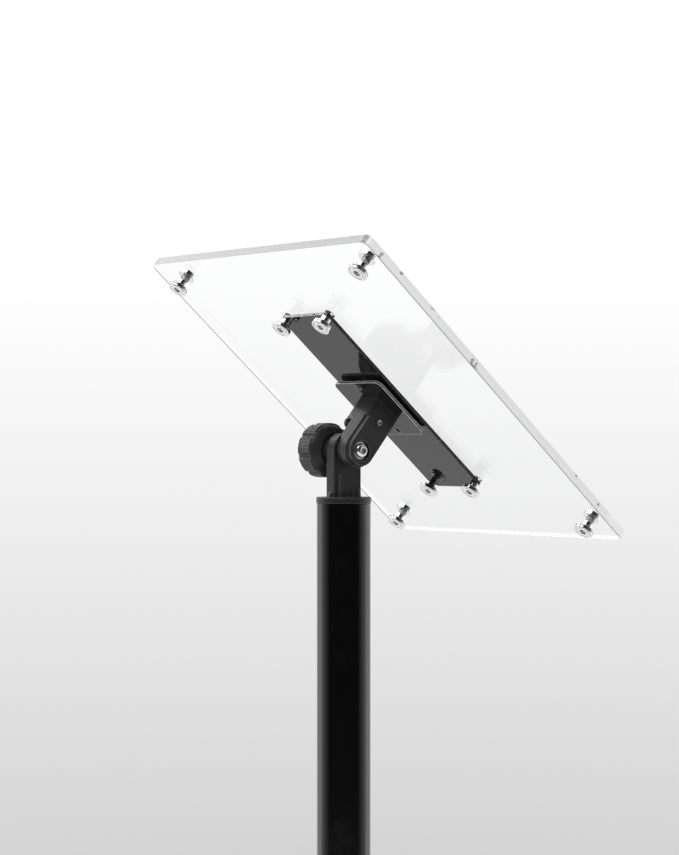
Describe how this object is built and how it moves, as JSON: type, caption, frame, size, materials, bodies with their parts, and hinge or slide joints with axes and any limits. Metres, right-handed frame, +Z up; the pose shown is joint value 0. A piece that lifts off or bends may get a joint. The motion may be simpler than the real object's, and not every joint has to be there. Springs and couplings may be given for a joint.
{
  "type": "pedestal sign stand",
  "caption": "Free-standing sign stand with a weighted round base, a sectional pole, a turning and tilting head with a clamp knob, and a clear sign holder.",
  "frame": {"origin": "centre of the base's footprint, on the floor", "axes": "+Z up along the pole; +X along the tilt bolt towards the clamp knob; the sign is read from the -Y side"},
  "size_m": [0.31, 0.31, 1.1872],
  "materials": {
    "black_rubber": "matt moulded rubber",
    "black_coating": "satin black powder coat",
    "plated_steel": "bright zinc plate",
    "black_nylon": "fine-textured black nylon",
    "brass": "turned brass",
    "chrome": "polished chrome plate",
    "gloss_black": "high-gloss black",
    "clear_acrylic": "polished clear acrylic"
  },
  "bodies": {
    "stand": {"base_ring": "black_rubber", "base_plate": "black_coating", "base_washer": "plated_steel", "base_bolt": "plated_steel", "base_collar": "black_nylon", "lower_pole": "black_coating", "middle_pole": "black_coating", "upper_pole": "black_coating", "pole_nut_inserts": "plated_steel", "pole_stud_inserts": "plated_steel", "pole_bush": "black_nylon"},
    "head": {"head_body": "black_nylon", "head_screw": "plated_steel", "head_washer": "plated_steel", "tilt_bolt": "chrome", "tilt_washer": "chrome", "friction_washer": "black_nylon", "knob_washer": "plated_steel"},
    "knob": {"clamp_knob": "black_nylon", "knob_insert": "brass"},
    "arm": {"tilt_arm": "black_nylon", "arm_screw": "chrome", "arm_nut": "black_nylon", "mounting_plate": "gloss_black", "plate_screws": "chrome"},
    "sign": {"swivel_screw": "chrome", "swivel_washer": "black_nylon", "swivel_nut": "plated_steel", "swivel_nut_washer": "plated_steel", "back_bar": "gloss_black", "bar_screws": "chrome", "bar_knobs": "chrome", "rear_sheet": "clear_acrylic", "front_sheet": "clear_acrylic", "corner_knobs": "chrome", "corner_caps": "chrome"}
  },
  "joints": [
    {"name": "head_spin", "type": "hinge", "parent": "stand", "child": "head", "pos_m": [0, 0, 1.012], "axis": [0, 0, 1], "continuous": true},
    {"name": "knob_turn", "type": "hinge", "parent": "head", "child": "knob", "pos_m": [0, 0, 1.049], "axis": [1, 0, 0], "range_deg": [0, 720]},
    {"name": "panel_tilt", "type": "hinge", "parent": "head", "child": "arm", "pos_m": [0, 0, 1.049], "axis": [1, 0, 0], "range_deg": [-130, 50]},
    {"name": "panel_turn", "type": "hinge", "parent": "arm", "child": "sign", "pos_m": [-0.00885, 0, 1.049], "axis": [0, -0.6428, 0.766], "continuous": true}
  ]
}
